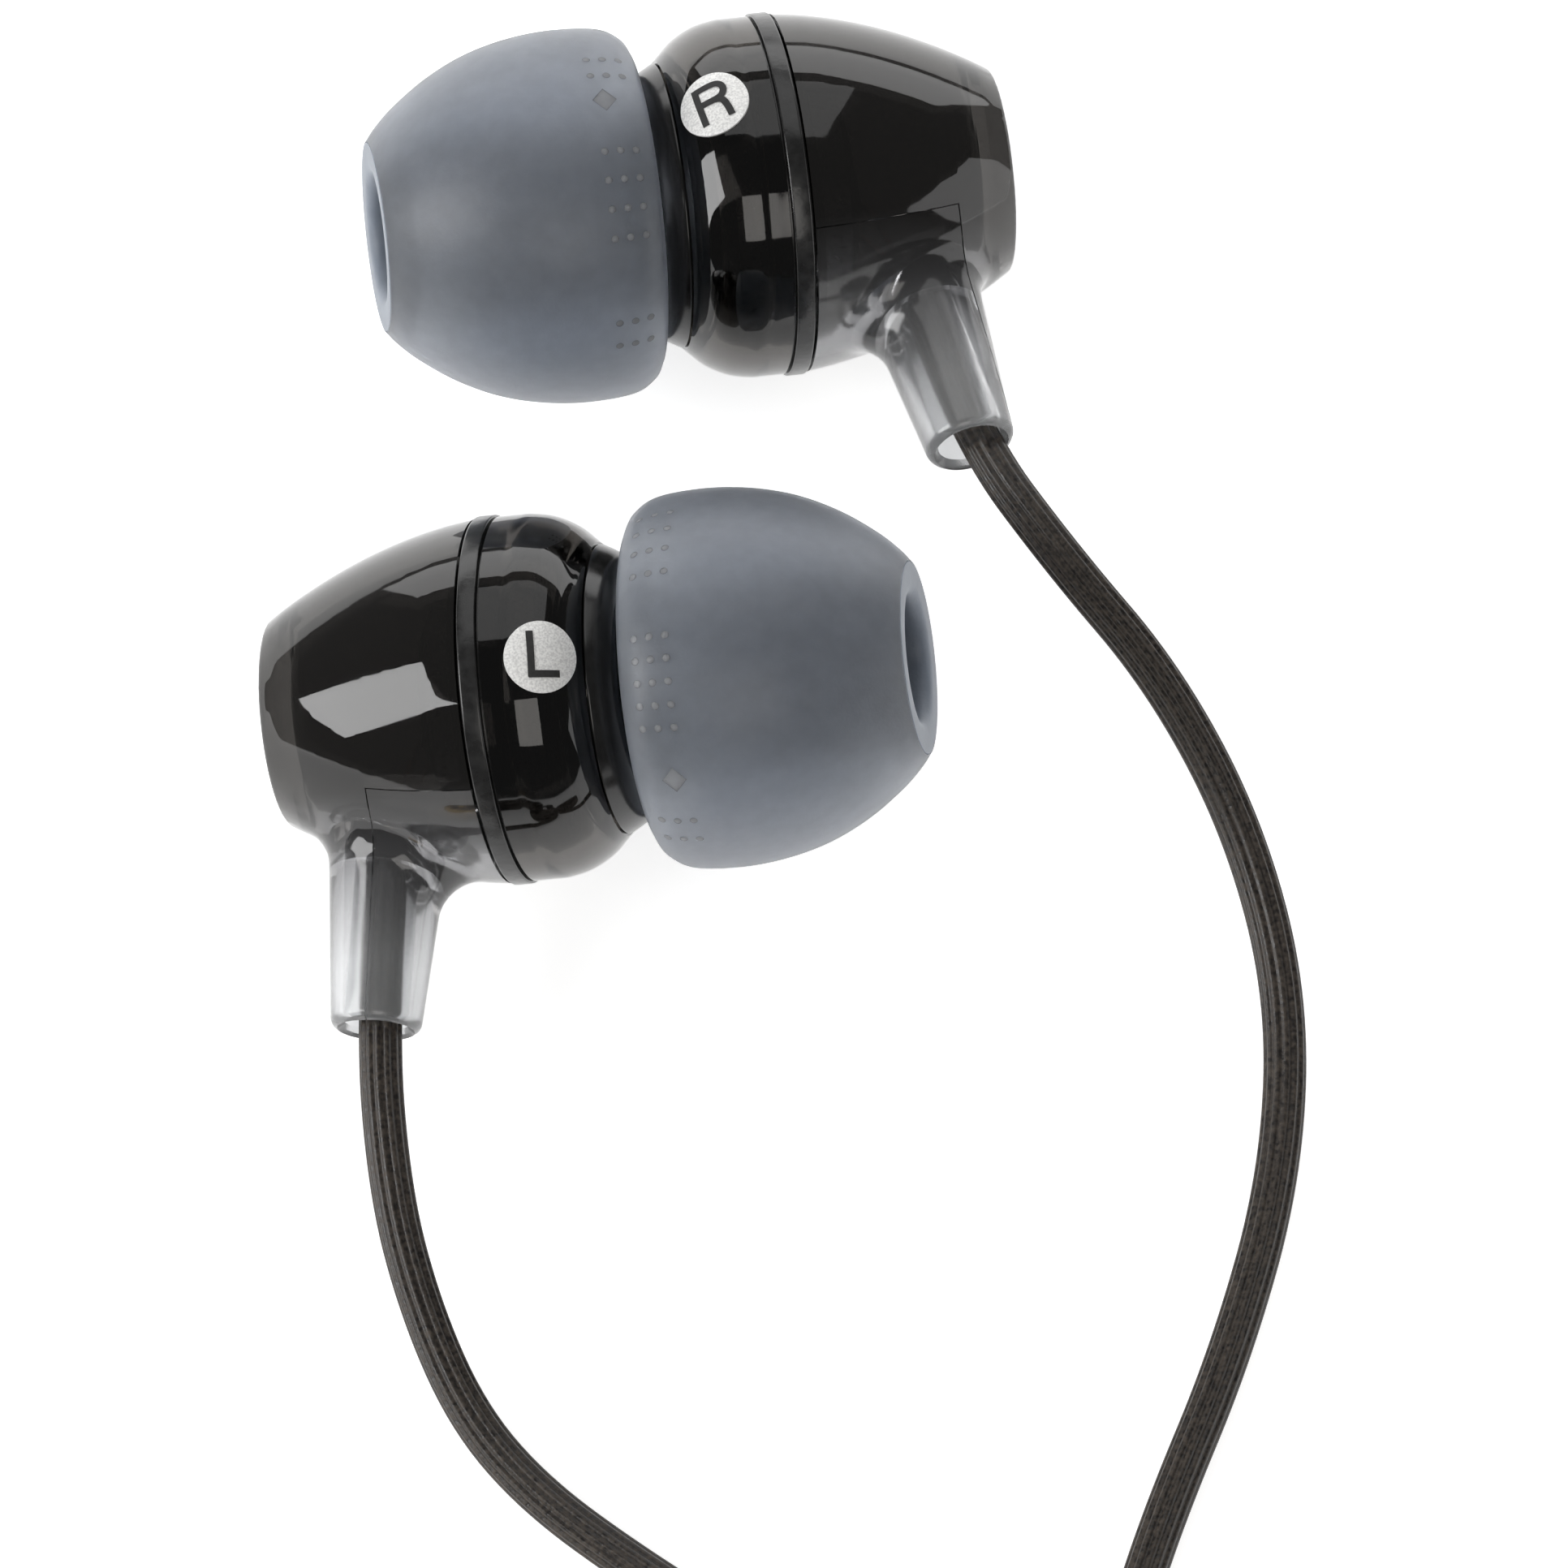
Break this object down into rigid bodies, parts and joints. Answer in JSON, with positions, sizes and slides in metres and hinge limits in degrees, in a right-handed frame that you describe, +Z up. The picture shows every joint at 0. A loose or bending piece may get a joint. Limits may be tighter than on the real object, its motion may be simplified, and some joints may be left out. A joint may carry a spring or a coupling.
{
  "type": "wired earphones",
  "caption": "In-ear earphones with soft tips, smoked housings and stems, a cord set with slider, splitter and a straight audio plug, cord wound up for storage.",
  "frame": {"origin": "bottom centre of the box round the two earpieces as they lie on a table, cord set aside", "axes": "+Z up from the table, +Y from the plug and coils towards the earpieces, +X to the right with the earpieces at the far side"},
  "size_m": [0.0501, 0.1065, 0.0135],
  "materials": {
    "ear_tip": "frosted translucent silicone, blue-grey",
    "ear_tip_core": "frosted silicone, slightly darker",
    "nozzle": "glossy black",
    "mesh": "fine woven mesh",
    "housing": "glossy smoked translucent plastic",
    "stem_cover": "glossy smoked clear plastic",
    "trim_ring": "dark ring with a fine bright line",
    "channel_disc": "satin silver label",
    "driver_frame": "black",
    "yoke": "plated iron",
    "magnet": "nickel-plated",
    "copper": "enamelled copper wire",
    "diaphragm": "thin clear film",
    "front_plate": "perforated plate",
    "board": "circuit board",
    "felt": "thin felt",
    "cord": "soft ribbed black-brown jacket",
    "fittings": "satin black",
    "contacts": "gold-plated",
    "insulator": "black rings"
  },
  "bodies": {
    "earphones": {"left_nozzle": "nozzle", "left_nozzle_mesh": "mesh", "left_front_housing": "housing", "left_rear_housing": "housing", "left_stem_cover": "stem_cover", "left_trim_ring": "trim_ring", "left_channel_disc": "channel_disc", "left_driver_frame": "driver_frame", "left_yoke": "yoke", "left_magnet": "magnet", "left_top_plate": "yoke", "left_driver_front_plate": "front_plate", "left_terminal_board": "board", "left_damping_felt": "felt", "left_cord_knot": "cord", "left_driver_wires": "copper", "left_cord": "cord", "left_cord_coil": "cord", "left_cord_lead": "cord", "right_nozzle": "nozzle", "right_nozzle_mesh": "mesh", "right_front_housing": "housing", "right_rear_housing": "housing", "right_stem_cover": "stem_cover", "right_trim_ring": "trim_ring", "right_channel_disc": "channel_disc", "right_driver_frame": "driver_frame", "right_yoke": "yoke", "right_magnet": "magnet", "right_top_plate": "yoke", "right_driver_front_plate": "front_plate", "right_terminal_board": "board", "right_damping_felt": "felt", "right_cord_knot": "cord", "right_driver_wires": "copper", "right_cord": "cord", "right_cord_coil": "cord", "right_cord_lead": "cord", "main_cord_lead": "cord", "main_cord_coil": "cord", "main_cord_end": "cord", "y_splitter": "fittings", "plug_body": "fittings", "plug_strain_relief": "fittings", "plug_sleeve": "contacts", "plug_ring": "contacts", "plug_tip": "contacts", "plug_insulators": "insulator"},
    "left_tip": {"left_ear_tip": "ear_tip", "left_ear_tip_core": "ear_tip_core"},
    "right_tip": {"right_ear_tip": "ear_tip", "right_ear_tip_core": "ear_tip_core"},
    "left_piston": {"left_diaphragm": "diaphragm", "left_voice_coil": "copper"},
    "right_piston": {"right_diaphragm": "diaphragm", "right_voice_coil": "copper"},
    "slider": {"cord_slider": "fittings"}
  },
  "joints": [
    {"name": "left_tip_pull", "type": "slide", "parent": "earphones", "child": "left_tip", "axis": [0.9793, 0.0222, 0.2011], "range_m": [0, 0.005]},
    {"name": "right_tip_pull", "type": "slide", "parent": "earphones", "child": "right_tip", "axis": [-0.9846, -0.156, 0.0785], "range_m": [0, 0.005]},
    {"name": "left_diaphragm_travel", "type": "slide", "parent": "earphones", "child": "left_piston", "axis": [0.9793, 0.0222, 0.2011], "range_m": [-0.00012, 0.00012], "stiffness_N_per_m": 46},
    {"name": "right_diaphragm_travel", "type": "slide", "parent": "earphones", "child": "right_piston", "axis": [-0.9846, -0.156, 0.0785], "range_m": [-0.00012, 0.00012], "stiffness_N_per_m": 46},
    {"name": "slider_travel", "type": "slide", "parent": "earphones", "child": "slider", "axis": [0, 1, 0], "range_m": [0, 0.0075]}
  ]
}
